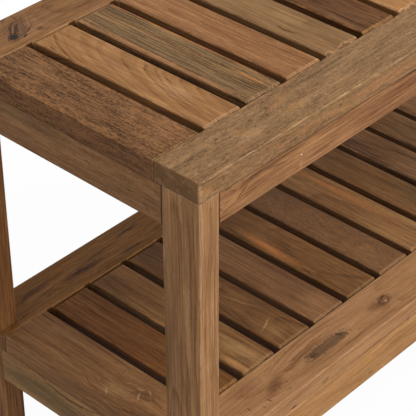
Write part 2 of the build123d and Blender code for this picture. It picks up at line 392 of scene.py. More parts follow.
def make_edge_group():
    """Rubs the edges of a board pale and darkens its end grain and its seams. It also paints shade, partly
    real soiling, on the walls of its gaps, and paints shade on a rail's wall where each gap ends and in the
    groove at a slat's front end.
    """
    t, given, result = new_group(
        "Board edges",
        {
            "Color": ("Color", "Arris", "End tone"),
            "Vector": ("Board", "Half size", "Seed"),
            "Float": (
                "Width", "Wear", "End bevel", "End grain", "Sheltered", "Dirt", "Seam", "Rubbed below",
                "Gap pitch", "Chipped",
            ),
        },
        {"Color": ("Color",)},
    )
    inside = vector_calc(t, "ABSOLUTE", given["Board"])
    x, y, z = split(t, vector_calc(t, "SUBTRACT", given["Half size"], inside))
    along, way, up = split(t, given["Board"])
    _, half_way, half_up = split(t, given["Half size"])
    from_top = calc(t, "SUBTRACT", half_up, up)
    near_end = calc(t, "MINIMUM", x, y)
    nearest_edge = calc(t, "MAXIMUM", near_end, calc(t, "MINIMUM", calc(t, "MAXIMUM", x, y), z))
    place = vector_calc(t, "ADD", given["Board"], given["Seed"])
    uneven = noise(t, place, WEAR_WAVES, 4, 0.65)

    # Rubbed long edges, and the pale bevel across an end
    front_end = ramp(t, along, -1 * MM, 1 * MM)
    reach = product(t, given["Width"], ramp(t, uneven, 0.32, 0.68, 0.25, 1.6))
    upper = calc(t, "MAXIMUM", ramp(t, up, -1 * MM, 1 * MM), given["Rubbed below"])
    rubbed = ramp(t, calc(t, "DIVIDE", nearest_edge, reach), 0.0, 1.0, 1.0, 0.0)
    rubbed = product(t, rubbed, given["Wear"], upper)
    splinter = calc(t, "SUBTRACT", noise(t, place, SPLINTER_WAVES, 3, 0.6), 0.5)
    from_end = total(t, x, product(t, splinter, given["Chipped"]))
    bevel_ratio = calc(t, "DIVIDE", from_end, calc(t, "MAXIMUM", given["End bevel"], 0.01 * MM))
    bevel = product(t, ramp(t, bevel_ratio, 0.9, 1.1, 0.7, 0.0), ramp(t, uneven, 0.3, 0.7, 1.0, 0.7))
    # A thin dark line across the bevel at a front end, and painted shade in the groove where that end meets
    # the rail
    bevel_line = calc(t, "ABSOLUTE", calc(t, "SUBTRACT", bevel_ratio, 0.8))
    bevel_line = product(t, ramp(t, bevel_line, 0.02, 0.11, 0.5, 0.0), front_end)
    bevel = product(t, bevel, given["Wear"], 2.0)
    bevel_groove_shade = product(t, ramp(t, bevel_ratio, 0.50, 0.64, 1.0, 0.0), given["Dirt"], front_end, 0.9)

    # Seams where a board meets the one above it and the legs
    seam = calc(t, "MINIMUM", from_top, product(t, x, 1.4))
    seam = calc(t, "DIVIDE", seam, ramp(t, uneven, 0.35, 0.65, 1.3 * MM, 2.0 * MM))
    seam = product(t, ramp(t, seam, 0.7, 1.0, 1.0, 0.0), given["Seam"])

    # Walls of the gaps, darker further below the top: painted shade, partly real soiling
    one_side = calc(t, "SUBTRACT", half_way, product(t, way, given["Sheltered"]))
    both = calc(t, "COMPARE", given["Sheltered"], BOTH_SIDES, 0.5)
    neither = calc(t, "COMPARE", given["Sheltered"], NO_SIDE, 0.5)
    not_both = calc(t, "SUBTRACT", 1.0, both)
    depth_in = total(t, product(t, both, y), product(t, not_both, one_side), neither)
    wall = ramp(t, depth_in, 0.15 * MM, 0.6 * MM, 1.0, 0.0)
    first_dark = ramp(t, from_top, 1.2 * MM, 3.0 * MM, 0.0, 0.35)
    below = total(t, first_dark, ramp(t, from_top, 5 * MM, 14 * MM, 0.0, 0.65))

    # A rail's wall gets painted shade only where it closes a gap, and is pale where a slat's bevel lets it
    # show
    has_gaps = calc(t, "GREATER_THAN", given["Gap pitch"], 0.0)
    phase = calc(t, "DIVIDE", along, calc(t, "MAXIMUM", given["Gap pitch"], 1 * MM))
    phase = calc(t, "ABSOLUTE", calc(t, "SUBTRACT", calc(t, "FRACT", total(t, phase, 0.5)), 0.5))
    in_gap = ramp(t, product(t, phase, given["Gap pitch"]), 3.8 * MM, 5.2 * MM, 1.0, 0.0)
    # Painted shade on a rail's wall at the far end of each gap
    gap_end_painted_shade = product(t, wall, has_gaps, in_gap, ramp(t, from_top, 0.4 * MM, 2.0 * MM))
    off_gap = calc(t, "SUBTRACT", 1.0, in_gap)
    groove = product(t, wall, has_gaps, off_gap, ramp(t, from_top, 2.5 * MM, 4.5 * MM, 0.75, 0.0))
    # Painted shade, partly real soiling, deeper down the walls of the gaps between slats and end boards
    grime_and_shade = product(t, wall, below, calc(t, "SUBTRACT", 1.0, has_gaps))

    end = product(t, ramp(t, x, 0.3 * MM, 1.4 * MM, 1.0, 0.0), given["End grain"])
    now = mix(t, rubbed, given["Color"], given["Arris"])
    now = mix(t, calc(t, "MAXIMUM", bevel, groove), now, given["Arris"])
    now = mix(t, product(t, end, 0.5), now, given["End tone"])
    for factor, shade in (
        (bevel_line, BEVEL_LINE_SHADE),
        (bevel_groove_shade, BEVEL_GROOVE_PAINTED_SHADE),
        (end, END_GRAIN_SHADE),
        (seam, SEAM_SHADE),
        (grime_and_shade, GRIME_AND_PAINTED_SHADE),
        (gap_end_painted_shade, GAP_END_PAINTED_SHADE),
    ):
        now = mix(t, factor, now, tinted(t, now, shade))
    t.links.new(now, result["Color"])


def make_mark_group():
    """A mark in the wood, inside an ellipsoid that can be turned, bent and hollow."""
    t, given, result = new_group(
        "Wood mark",
        {
            "Vector": ("Place", "At", "Turn", "Size"),
            "Float": ("Bend", "Hollow", "Boxy", "Softness", "Strength", "Push", "Uneven", "Ragged"),
        },
        {"Float": ("Cover", "Swell")},
    )
    lying = {"Vector": "Place", "Location": "At", "Rotation": "Turn", "Scale": "Size"}
    lying = {name: given[socket] for name, socket in lying.items()}
    mapped = add_node(t, "ShaderNodeMapping", lying, vector_type="TEXTURE")
    x, y, z = split(t, mapped.outputs[0])
    y = total(t, y, product(t, given["Bend"], x, x))
    bent = join(t, x, y, z)
    square = vector_calc(t, "MULTIPLY", bent, bent)
    fourth_root = calc(t, "POWER", vector_calc(t, "DOT_PRODUCT", square, square), 0.25)
    radius = vector_calc(t, "LENGTH", bent)
    radius = add_node(t, "ShaderNodeMix", {0: given["Boxy"], 2: radius, 3: fourth_root}).outputs[0]
    t.links.new(product(t, ramp(t, radius, 0.0, 1.8, 1.0, 0.0), given["Push"]), result["Swell"])
    radius = total(t, radius, product(t, calc(t, "SUBTRACT", given["Uneven"], 0.5), given["Ragged"]))
    radius = calc(t, "ABSOLUTE", calc(t, "SUBTRACT", radius, given["Hollow"]))
    radius = calc(t, "DIVIDE", radius, calc(t, "SUBTRACT", 1.0, given["Hollow"]))
    cover = ramp(t, radius, calc(t, "SUBTRACT", 1.0, given["Softness"]), 1.0, 1.0, 0.0)
    t.links.new(product(t, cover, given["Strength"]), result["Cover"])


# Boards


class Board:
    """How one board is sawn from its log. Lengths in millimetres.

    heart is where the middle of the log lies from the middle of the board, across and through it, and lean
    is how far that shifts over a metre. The rings show as arches where the log leans through the face.
    shade makes the board lighter or darker than its tone, and warmth makes it redder. fibre is the length
    of its finest lines. curl is how far the grain swirls, within curl_reach of curl_at along the board.
    wear and seam make its rubbed edges and dark seams plainer or fainter, and chipped is how far its planed
    ends splinter.
    """

    def __init__(
        self, tone, cast=None, shade=1.0, warmth=0.0, heart=(20, -60), lean=(10, 30), ring=3.6, figure=0.45,
        streaks=0.6, pores=0.4, patches=0.5, mottle=0.15, fibre=90, curl=0, curl_at=0, curl_reach=1000,
        wear=1.0, seam=1.0, chipped=3,
    ):
        self.tone = tone
        self.cast = cast or tone
        self.tint = (shade * (1 + warmth / 3), shade, shade * (1 - warmth), 1)
        self.wear = wear
        self.seam = seam
        self.chipped = chipped * MM
        self.grain = {
            "Heart": Vector((0, *heart)) * MM, "Lean": Vector((0, *lean)) * MM, "Ring width": ring * MM,
            "Figure": figure, "Streaks": streaks, "Pores": pores, "Patches": patches, "Mottle": mottle,
            "Fibre": fibre * MM, "Curl": curl * MM, "Curl at": curl_at * MM, "Curl reach": curl_reach * MM,
        }


# How the dusty slats of the shelf look
DUSTY = {"patches": 0.8, "mottle": 0.22, "wear": 0.55}

LEGS = {
    "leg_front_left": Board(
        "golden", "rosy", 1.07, -0.18, heart=(10, 60), lean=(4, 10), ring=3, streaks=0.45, pores=0.3,
        mottle=0.08, fibre=170,
    ),
    "leg_back_left": Board("rosy", "russet", 0.86, 0.16, heart=(-30, 70), ring=3.2),
    "leg_front_right": Board("rosy", "tan", 1.05, heart=(-18, 66), ring=3.4),
    "leg_back_right": Board("tan", "sand", 1.0, heart=(22, -58), ring=3, figure=0.5),
}

APRONS = {
    "top_apron_front": Board(
        "rosy", "tan", 1.0, heart=(-60, -8), lean=(0, 60), ring=3.4, figure=0.4, streaks=0.5,
    ),
    "top_apron_back": Board("tan", "rosy", 0.98, heart=(55, -10), lean=(0, 40)),
    "top_apron_left": Board(
        "tan", "umber", 0.94, -0.03, heart=(70, 10), lean=(0, 20), ring=3, figure=0.3, streaks=0.4,
        mottle=0.3, fibre=40,
    ),
    "top_apron_right": Board("sand", "tan", 0.95, heart=(70, 10), lean=(0, -25)),
    "shelf_apron_front": Board(
        "golden", "sand", 1.18, -0.03, heart=(-75, -20), lean=(0, 70), ring=4.5, figure=0.3, streaks=0.3,
        seam=0.1,
    ),
    "shelf_apron_back": Board("tan", "golden", 0.98, heart=(60, 12), lean=(0, -40)),
    "shelf_apron_left": Board(
        "sand", "weathered", 1.18, 0.08, heart=(80, 10), lean=(0, 15), ring=5, figure=0.3, streaks=0.45,
        mottle=0.35,
    ),
    "shelf_apron_right": Board("tan", "sand", 0.95, heart=(70, -10), lean=(0, 25)),
}

RAILS = {
    "top_rail_front": Board(
        "sand", "tan", 0.96, -0.07, heart=(-8, -90), lean=(25, 25), ring=2.6, figure=0.35, streaks=0.34,
        pores=0.5, patches=0.45, mottle=0.55, fibre=40, curl=11, curl_at=-265, curl_reach=100,
    ),
    "top_rail_back": Board(
        "tan", "rosy", 0.79, 0.1, heart=(10, -60), lean=(15, 45), ring=2.8, figure=0.3, streaks=0.35,
        mottle=0.2, fibre=50, wear=0.4,
    ),
    "shelf_rail_front": Board(
        "golden", "rosy", 1.21, -0.17, heart=(12, -50), lean=(0, 40), ring=4.6, figure=0.4, streaks=0.28,
        pores=0.2, patches=0.6, mottle=0.12, fibre=140, wear=0.5,
    ),
    "shelf_rail_back": Board(
        "tan", "umber", 0.7, 0.3, heart=(-20, -62), lean=(5, 25), ring=3.4, figure=0.5, streaks=0.35,
        mottle=0.12, curl=6, wear=0.3,
    ),
}

END_BOARDS = {
    "top_end_board_left": Board(
        "umber", "rosy", 0.73, 0.19, heart=(-15, -70), lean=(0, 20), ring=3.4, figure=0.2, streaks=0.55,
        pores=0.6, mottle=0.8, fibre=26,
    ),
    "top_end_board_right": Board("umber", "rosy", 1.0, heart=(15, -60), pores=0.9),
    "shelf_end_board_left": Board(
        "tan", "umber", 0.9, 0.04, heart=(-45, -30), lean=(25, 25), ring=2.8, figure=0.5, streaks=0.35,
        pores=0.2, fibre=120, curl=10, curl_at=50, curl_reach=60,
    ),
    "shelf_end_board_right": Board("tan", "umber", 0.9, heart=(25, -50), pores=0.8),
}

SLATS = {
    "top_slat_01": Board(
        "golden", "tan", 0.95, heart=(28, -45), lean=(0, 190), ring=3.4, figure=0.6, streaks=0.35,
        pores=0.15, patches=0.4, mottle=0.12, fibre=120,
    ),
    "top_slat_02": Board(
        "sand", "weathered", 0.69, 0.05, heart=(22, -52), lean=(10, 25), ring=3, figure=0.4, streaks=0.95,
        pores=0.5, mottle=0.5, fibre=80,
    ),
    "top_slat_03": Board(
        "rosy", "tan", 0.95, 0.08, heart=(18, -60), lean=(12, 40), ring=3.2, figure=0.3, streaks=0.45,
        pores=0.3, mottle=0.25, fibre=70,
    ),
    "top_slat_04": Board(
        "sand", "tan", 0.88, 0.04, heart=(12, -60), lean=(10, 45), figure=0.3, streaks=0.4, pores=0.3,
        chipped=17,
    ),
    "top_slat_05": Board(
        "russet", "umber", 0.73, 0.3, heart=(-16, -55), lean=(10, 25), ring=3, figure=0.4, mottle=0.25,
        fibre=60,
    ),
    "top_slat_06": Board(
        "golden", "golden", 1.14, heart=(10, -60), ring=4, figure=0.35, streaks=0.45, mottle=0.3,
        chipped=18,
    ),
    "top_slat_07": Board("tan", "rosy", 0.97, heart=(-18, -50), lean=(20, 60)),
    "top_slat_08": Board("sand", "golden", 0.96, heart=(12, -48), lean=(-15, 80), ring=3.8),
    "top_slat_09": Board("rosy", "umber", 0.94, heart=(20, -64), ring=3.2, streaks=0.7),
    "top_slat_10": Board("golden", "sand", 0.97, heart=(-10, -52), lean=(-20, 90), ring=4),
    "shelf_slat_01": Board(
        "russet", "umber", 0.9, 0.36, heart=(15, -60), lean=(8, 25), ring=3, figure=0.3, streaks=0.46,
        patches=0.8, wear=0.55,
    ),
    "shelf_slat_02": Board(
        "tan", "sand", 0.77, 0.12, heart=(-10, -50), lean=(12, 60), ring=3, figure=0.35, streaks=0.46,
        **DUSTY,
    ),
    "shelf_slat_03": Board(
        "tan", "umber", 0.67, 0.17, heart=(5, -50), lean=(25, 110), ring=4, figure=0.4, streaks=0.42,
        **DUSTY,
    ),
    "shelf_slat_04": Board(
        "rosy", "umber", 0.79, 0.02, heart=(15, -60), ring=3.2, figure=0.3, streaks=0.42, pores=0.3,
        **DUSTY,
    ),
    "shelf_slat_05": Board(
        "tan", "umber", 0.7, 0.16, heart=(5, -50), lean=(15, 90), ring=3.8, figure=0.4, streaks=0.42,
        **DUSTY,
    ),
    "shelf_slat_06": Board(
        "umber", "tan", 0.94, 0.04, heart=(10, -60), ring=3.2, figure=0.2, streaks=0.2, pores=0.3,
        mottle=0.35, fibre=15, curl=8, wear=0.55,
    ),
    "shelf_slat_07": Board(
        "tan", "sand", 0.97, 0.05, heart=(-14, -55), lean=(12, 50), figure=0.35, streaks=0.42, **DUSTY,
    ),
    "shelf_slat_08": Board(
        "tan", "weathered", 0.72, 0.1, heart=(18, -60), ring=3.4, streaks=0.46, patches=0.8, mottle=0.2,
    ),
    "shelf_slat_09": Board("umber", "tan", 0.86, heart=(-12, -52), lean=(16, 60)),
    "shelf_slat_10": Board("tan", "weathered", 0.78, heart=(14, -58), lean=(-12, 40), ring=3.4),
}

DOWELS = {
    name: Board("golden", heart=(0, 40), ring=2.5, pores=0.3, patches=0.2)
    for name in ("top_dowels", "shelf_dowels")
}


class Mark:
    """A knot, stain or crack on a face of the table, or a painted highlight or painted shade on it. Lengths
    in millimetres, angles in degrees.

    axis is the one that the face is square to, and level is where the face lies on it. place_a and place_b
    are the mark's coordinates on the other two, length and width are half its size, and turn is its slant
    from X, or from -Y on the left. deep is how far it goes in, and out is how far its middle lies outside
    the face. soft fades its outline. push moves the rings outwards round it, as a knot does. hollow leaves
    only its rim, from 0 for none of its radius to nearly 1, and boxy makes it a rounded rectangle.
    """

    def __init__(
        self, axis, level, facing, place_a, place_b, length, width, tone, strength, turn=0, soft=0.9,
        bend=0, push=0, ragged=1.0, hollow=0.0, boxy=0.0, deep=7, out=0,
    ):
        at = [place_a, place_b]
        at.insert(axis, level + copysign(out, level))
        turn = (facing @ Matrix.Rotation(turn * pi / 180, 3, "Z")).to_euler()
        self.tone = tone
        self.inputs = {
            "At": Vector(at) * MM, "Turn": turn, "Size": Vector((length, width, deep)) * MM, "Bend": bend,
            "Softness": soft, "Strength": strength, "Push": push * MM, "Ragged": ragged, "Hollow": hollow,
            "Boxy": boxy,
        }


X, Y, Z = range(3)
FLAT = Matrix.Identity(3)
UPRIGHT = Matrix.Rotation(pi / 2, 3, "X")

TOP_HEIGHT = 500
SHELF_HEIGHT = 159
FRONT_FACE = -175
LEFT_FACE = -360

top = partial(Mark, Z, TOP_HEIGHT, FLAT)
shelf = partial(Mark, Z, SHELF_HEIGHT, FLAT)
front = partial(Mark, Y, FRONT_FACE, UPRIGHT)
left = partial(Mark, X, LEFT_FACE, Matrix.Rotation(-pi / 2, 3, "Z") @ UPRIGHT)

# The marks of each board, each with its place, half length, half width, tone, strength, turn and softness
MARKS = {}

MARKS["leg_front_left"] = [
    left(-133, 330, 180, 7, "weathered", 0.35, 90, 0.8),
    left(-138, 250, 260, 16, "russet", 0.3, 90),
    left(-150, 290, 130, 4, "russet", 0.45, 90),
    left(-163, 380, 110, 2.4, "russet", 0.7, 90, 0.8),
    left(-157, 240, 70, 1.6, "russet_grain", 0.45, 90, 0.8),
    left(-167, 320, 60, 1.0, "knot", 0.35, 90, 0.8),
    left(-173, 300, 190, 3.5, "rosy", 0.5, 90, 0.8),
    front(-352, 350, 150, 1.2, "rosy_grain", 0.5, 90),
    front(-345, 410, 80, 1.3, "rosy_grain", 0.5, 90),
    front(-340, 330, 160, 1.0, "rosy_grain", 0.5, 90),
    front(-357, 380, 120, 1.0, "rosy_grain", 0.4, 90),
    front(-345, 465, 4, 1.3, "knot", 0.5, 90, 0.6),
]

MARKS["top_apron_front"] = [
    front(-313, 461, 17, 8, "golden", 0.75, 25, 0.8, push=4),
    front(-320, 454, 13, 2.2, "umber_grain", 0.6, 12, 0.6),
    front(-303, 462, 13, 2, "umber_grain", 0.6, 38, 0.6),
    front(-285, 471.5, 14, 2.4, "weathered_grain", 0.5, 8, 0.6),
    front(-255, 468, 22, 2.4, "weathered_grain", 0.5, -12, 0.6, bend=0.6),
    front(-323, 476, 6, 2.5, "knot", 0.4, -20, 0.6),
    front(-302, 474, 3, 3, "russet", 0.5, soft=0.6),
    front(-205, 468, 30, 7, "golden", 0.6, -2, push=3),
    front(-218.5, 461.5, 1.5, 1.1, "filler", 0.85, -30, 0.5, ragged=0.5),
    front(-219, 451, 7, 3, "golden", 0.5, 90, 0.8),
    front(-185, 454, 30, 1.6, "rosy_grain", 0.55, 2, 0.6),
    front(-130, 466, 45, 2, "rosy_grain", 0.45, -3, 0.6),
    front(-225, 450, 4, 3, "russet", 0.35, soft=0.6),
]

MARKS["top_apron_left"] = [
    left(70, 468, 110, 9, "weathered", 0.45, -1),
    left(-100, 458, 24, 14, "rosy", 0.35, push=4),
    left(-108, 443, 3, 9, "russet_grain", 0.35, 30, 0.6),
]

MARKS["shelf_apron_front"] = [
    front(-84, 102, 8, 4, "weathered", 0.55, -30, 0.8),
    front(-120, 106, 60, 2.4, "umber", 0.4, -12),
    front(-175, 120, 30, 3, "umber", 0.35, -4),
    front(-10, 97, 80, 3, "russet", 0.45),
]

MARKS["shelf_apron_left"] = [
    left(40, 108, 90, 17, "weathered", 0.75, soft=0.3),
    left(20, 126, 62, 2.2, "knot", 0.75, soft=0.7, bend=-7),
    left(15, 134, 60, 5, "tan", 0.7, soft=0.8, bend=-3),
    left(20, 127, 50, 1.5, "weathered_grain", 0.35, bend=-7),
    left(30, 112, 70, 1.5, "weathered_grain", 0.3, bend=-5),
    left(60, 108, 60, 12, "weathered", 0.5),
]

MARKS["top_rail_front"] = [
    top(-265, -156, 32, 9, "arris", 0.25, 4, 0.95),
    top(-180, -146, 55, 9, "rosy_grain", 0.3, soft=0.95),
    front(-40, 488, 330, 8, "rosy", 0.7, soft=0.6, deep=5, out=1),
    front(-300, 489, 45, 4, "rosy_grain", 0.4, 1, out=1),
    front(-350, 488, 11, 11, "golden", 0.6, soft=0.8, out=1),
    front(-328, 491, 5, 2.5, "knot", 0.4, -40, 0.6),
    front(-240, 484, 50, 1.2, "rosy_grain", 0.5, 1, 0.6, out=1),
    front(-163, 490.5, 4.5, 2.6, "knot", 0.5, -15, 0.6, ragged=1.4),
    front(-158, 484, 10, 4, "golden", 0.5, soft=0.6),
    top(-210, -137, 38, 7, "rosy", 0.6, 16),
    top(-185, -128, 24, 6, "russet", 0.3, 20),
    top(-235, -124, 22, 3, "russet_grain", 0.35, -4),
    top(-272, -150, 24, 9, "golden", 0.4, -50),
    top(-208, -155, 26, 8, "golden", 0.45, 8),
    top(-196, -162, 10, 1.2, "sand_grain", 0.5, 42, 0.8),
    top(-205, -158, 9, 1.0, "sand_grain", 0.45, 48, 0.8),
    top(-186, -163, 12, 1.0, "sand_grain", 0.5, 36, 0.8),
    top(-293, -142, 20, 1.0, "sand_grain", 0.4, -62, 0.8),
    top(-304, -138, 16, 1.0, "sand_grain", 0.4, -55, 0.8),
    top(-310, -121, 20, 1.4, "umber_grain", 0.45, soft=0.8),
    top(-150, -133, 45, 9, "weathered_grain", 0.28, -4, 0.95),
    top(-120, -160, 60, 5, "rosy", 0.4, 2),
    top(-290, -165, 40, 6, "rosy", 0.4, 1),
    top(-90, -159, 70, 1.0, "sand_grain", 0.6, 1, 0.8, bend=-1.5),
    top(-110, -151, 60, 0.8, "sand_grain", 0.5, 2, 0.8),
    top(-72, -168, 18, 1.0, "sand_grain", 0.6, 32, 0.8, bend=1.6),
    top(-140, -155, 50, 1.6, "arris", 0.12, 1),
    top(-90, -128, 70, 1.2, "rosy_grain", 0.35, 1),
    left(-125, 489, 9, 14, "russet", 0.6, soft=0.8),
    left(-129, 486, 9, 1.8, "crack", 0.75, 84, 0.8),
    left(-152, 484, 16, 3, "weathered_grain", 0.5, -8),
    left(-146, 493, 14, 1.2, "russet_grain", 0.6, -12),
    left(-158, 495, 12, 1.4, "sand", 0.4, -6),
    left(-160, 489, 9, 14, "weathered_grain", 0.3),
    # A painted highlight, standing in for light on the rounded front arris
    left(-174, 489, 14, 3, "arris", 0.55, 90, 0.5, ragged=0.5),
]

MARKS["top_rail_back"] = [
    top(-274, 152, 38, 26, "umber", 0.8, 40, 0.95, push=6),
    top(-284, 148, 34, 19, "umber_grain", 0.8, 38, 0.95, ragged=1.6),
    top(-290, 152, 22, 2, "crack", 0.75, 50, 0.8, bend=3),
    top(-279, 137, 20, 1.8, "crack", 0.7, 20, 0.8, bend=-3),
    top(-254, 148, 22, 6, "umber_grain", 0.35, 80, 0.95, push=3),
    top(-272, 152, 22, 1.6, "umber_grain", 0.6, 62, 0.8, bend=2),
    top(-266, 152, 20, 1.2, "tan", 0.5, 60, 0.8, bend=2),
    top(-297, 138, 9.5, 7.5, "crack", 1.0, 40, 0.6, push=3, ragged=1.6),
    top(-286, 147.5, 16, 4.4, "crack", 0.8, 44, 0.8, bend=0.4, ragged=1.5),
    top(-288, 149.5, 13, 0.9, "rosy", 0.7, 46, 0.7),
    top(-283, 145, 14, 1.0, "umber", 0.7, 50, 0.7),
    top(-287, 131.5, 5.5, 2.4, "crack", 0.9, 25, 0.8),
    top(-267, 132.5, 7, 5, "umber_grain", 0.9, -20, ragged=1.8),
    top(-263, 127, 9, 3.5, "umber_grain", 0.5, -20, ragged=1.8),
    top(-271, 166, 11, 2, "umber_grain", 0.7, 82, 0.8),
    top(-282, 171, 10, 4, "umber_grain", 0.7, 40, 0.8),
]

MARKS["shelf_rail_front"] = [
    shelf(-245, -133, 45, 10, "rosy_grain", 0.45, 4, 0.95),
    shelf(-150, -124, 100, 2.2, "russet", 0.75, 3, bend=9),
    shelf(-145, -129, 88, 1.8, "russet", 0.6, 2, bend=9),
    shelf(-145, -133, 76, 1.5, "arris", 0.4, 2, bend=8),
    shelf(-150, -136, 68, 1.8, "russet", 0.75, 3, bend=8),
    shelf(-160, -141, 52, 4.5, "russet", 0.65, 6, bend=1.2),
    shelf(-222, -152, 30, 9, "russet", 0.85, 24),
    shelf(-110, -166, 90, 1.8, "russet", 0.6, 2, bend=-3),
    shelf(-134, -151, 33, 6.4, "knot", 0.58, soft=0.3, push=7, ragged=1.7, boxy=1),
    shelf(-134, -151, 34, 7, "knot", 0.55, soft=0.8, ragged=1.8, hollow=0.85, boxy=1),
    shelf(-157, -151, 9, 4.5, "knot", 0.65, 6, 0.8, ragged=1.6),
    shelf(-109, -149, 9, 5, "knot", 0.65, -20, 0.8, ragged=1.6),
    shelf(-36, -150, 24, 12, "russet", 0.85, 6, push=5),
    shelf(-31, -148, 12, 8, "umber_grain", 0.5, 6, 0.8, hollow=0.65),
    shelf(-29, -144, 11, 2.6, "umber_grain", 0.9, 10, 0.8, bend=1.5),
    shelf(-50, -146, 16, 6, "russet", 0.7, 8),
    shelf(-38, -147, 3, 1.6, "knot", 0.5, soft=0.8),
    shelf(-30, -150.5, 3.2, 2.6, "arris", 0.8, soft=0.7, ragged=0.6),
    shelf(-220, -158, 3, 1.1, "knot", 0.7, 78, 0.6),
    shelf(-209, -157, 4, 1, "umber_grain", 0.65, 88, 0.6),
    shelf(-214, -167, 2.5, 1, "knot", 0.5, 60, 0.6),
    shelf(-243, -163, 4, 1.2, "knot", 0.8, 100, 0.6),
    shelf(-254, -166, 3.5, 1, "umber_grain", 0.6, 95, 0.6),
    shelf(-268, -157, 4, 1.1, "umber_grain", 0.7, 92, 0.6),
    shelf(-278, -154, 3, 1, "umber_grain", 0.5, 92, 0.6),
    front(-200, 152, 70, 4, "russet", 0.35, 7, out=1),
    front(-217, 140, 5.5, 2.8, "knot", 0.65, 4, 0.6, out=1),
    front(-165, 143, 9, 3.5, "russet_grain", 0.4, 8, 0.6, out=1),
    front(-90, 139, 120, 2, "russet_grain", 0.4, out=1),
    front(-19, 140, 4, 2, "knot", 0.55, 10, 0.6, out=1),
]

MARKS["shelf_rail_back"] = [
    shelf(-220, 140, 44, 6.5, "russet_grain", 0.8, -1, 0.7, push=3, ragged=1.5),
    shelf(-223, 141, 24, 2.2, "crack", 0.8, -1),
    shelf(-288, 152, 40, 6, "russet_grain", 0.75, 6, 0.7, ragged=1.5),
    shelf(-275, 141, 34, 2.2, "russet_grain", 0.7, 6, 0.8),
    shelf(-190, 150, 46, 3.2, "russet_grain", 0.65, 3, 0.8, ragged=1.5),
    shelf(-300, 134, 30, 2.4, "russet_grain", 0.6, 3, 0.8),
    shelf(-133, 157, 30, 4, "crack", 0.85, 2),
    shelf(-153, 129, 28, 3, "crack", 0.85, -1),
    shelf(-322, 128, 10, 1.6, "crack", 0.8, 4, 0.8),
    shelf(-235, 149, 50, 1.4, "tan", 0.5, 2, bend=3),
    shelf(-225, 154, 50, 1.4, "umber_grain", 0.5, 2, bend=3),
    shelf(-190, 133, 60, 1.6, "tan", 0.45, -1),
    shelf(-350, 125, 7, 3, "tan", 0.6, soft=0.8),
]

MARKS["top_end_board_left"] = [
    top(-320, -92, 36, 24, "rosy", 0.45, 90, 0.95),
    left(-110, 489, 70, 18, "umber", 0.5, soft=0.8, deep=3, out=1),
    left(0, 489, 220, 18, "russet", 0.45, soft=0.2, ragged=0.2, boxy=1, deep=3, out=1),
    top(-342, -18, 45, 9, "russet", 0.6, 90, 0.95),
    top(-307, 5, 55, 5, "russet", 0.6, 88, 0.95),
    top(-320, -45, 30, 8, "rosy", 0.55, 86, 0.95),
    top(-304, -95, 20, 5, "rosy", 0.5, 90, 0.95),
    top(-322, 70, 40, 14, "tan", 0.4, 88, 0.95),
    top(-350, -90, 25, 8, "russet", 0.4, 90, 0.95),
]

MARKS["shelf_end_board_left"] = [
    shelf(-340, -32, 28, 12, "sand", 0.8, 108, 0.95, push=8),
    shelf(-325, -62, 18, 13, "umber_grain", 0.5, 100, 0.95, push=-6),
    shelf(-342, 50, 60, 1.5, "sand", 0.6, 86, bend=-3),
    shelf(-336, 55, 55, 1.2, "umber_grain", 0.5, 87, bend=-2),
    shelf(-350, 2, 18, 1.6, "sand", 0.6, 74, 0.8),
    shelf(-331, 60, 45, 1.2, "sand", 0.4, 88, 0.8),
    shelf(-318, 45, 55, 1.6, "russet_grain", 0.4, 88),
    shelf(-347, -27, 10, 1.6, "arris", 0.5, 50, 0.8),
    shelf(-331, -58, 9, 1.5, "arris", 0.5, 35, 0.7, bend=1.5),
    shelf(-322, -52, 9, 1.4, "arris", 0.4, 110, 0.7, bend=2),
    shelf(-319, -64, 8, 1.4, "arris", 0.4, 60, 0.7, bend=-2),
    shelf(-328, -72, 7, 1.2, "umber_grain", 0.6, 130, 0.7, bend=2),
    shelf(-333, -45, 12, 1.2, "umber_grain", 0.5, 100, 0.7, bend=2),
    shelf(-313, -20, 12, 1.6, "umber_grain", 0.4, 10),
]

MARKS["top_slat_01"] = [
    top(-266, 26, 28, 18, "russet", 0.45, 80, 0.95),
    top(-263, -50, 38, 14, "arris", 0.4, 90, 0.95),
    top(-285, 94, 10, 1.1, "knot", 0.8, 76, 0.6, ragged=1.4),
    top(-279, -95, 28, 2.4, "golden_grain", 0.65, 91),
    top(-281, -20, 50, 3, "tan_grain", 0.35, 89, 0.95),
    top(-247, 1, 6, 2.4, "weathered_grain", 0.45, 60),
    top(-243, -84, 7, 2, "weathered_grain", 0.4, 80),
    top(-262, -60, 50, 1.4, "golden_grain", 0.3, 88),
]

MARKS["top_slat_02"] = [
    top(-215, 0, 150, 9.5, "weathered", 0.8, 90, 0.5),
    top(-190, 20, 130, 5, "weathered", 0.85, 90, 0.6),
    top(-192, 70, 60, 6, "weathered_grain", 0.45, 90),
    top(-188, -20, 60, 3, "weathered_grain", 0.45, 90),
    top(-212, -85, 40, 7, "umber_grain", 0.35, 90),
    top(-201, 50, 70, 1.3, "sand", 0.6, 90, 0.8),
    top(-219, 60, 60, 1.3, "weathered_grain", 0.4, 90),
    top(-228.5, 0, 150, 3.4, "rosy", 0.8, 90, 0.5),
    top(-182.5, 20, 150, 2, "ember", 0.9, 90, 0.5, ragged=0.5),
    top(-195, -88, 34, 2.6, "ember", 0.6, 90, 0.8),
    top(-206, -30, 40, 1.2, "umber_grain", 0.6, 91, 0.8),
    top(-207, 50, 20, 2, "weathered_grain", 0.5, 88),
]

MARKS["top_slat_03"] = [
    top(-144, -85, 30, 1.2, "rosy_grain", 0.45, 89),
    top(-134, -80, 35, 1.2, "rosy_grain", 0.35, 91),
]

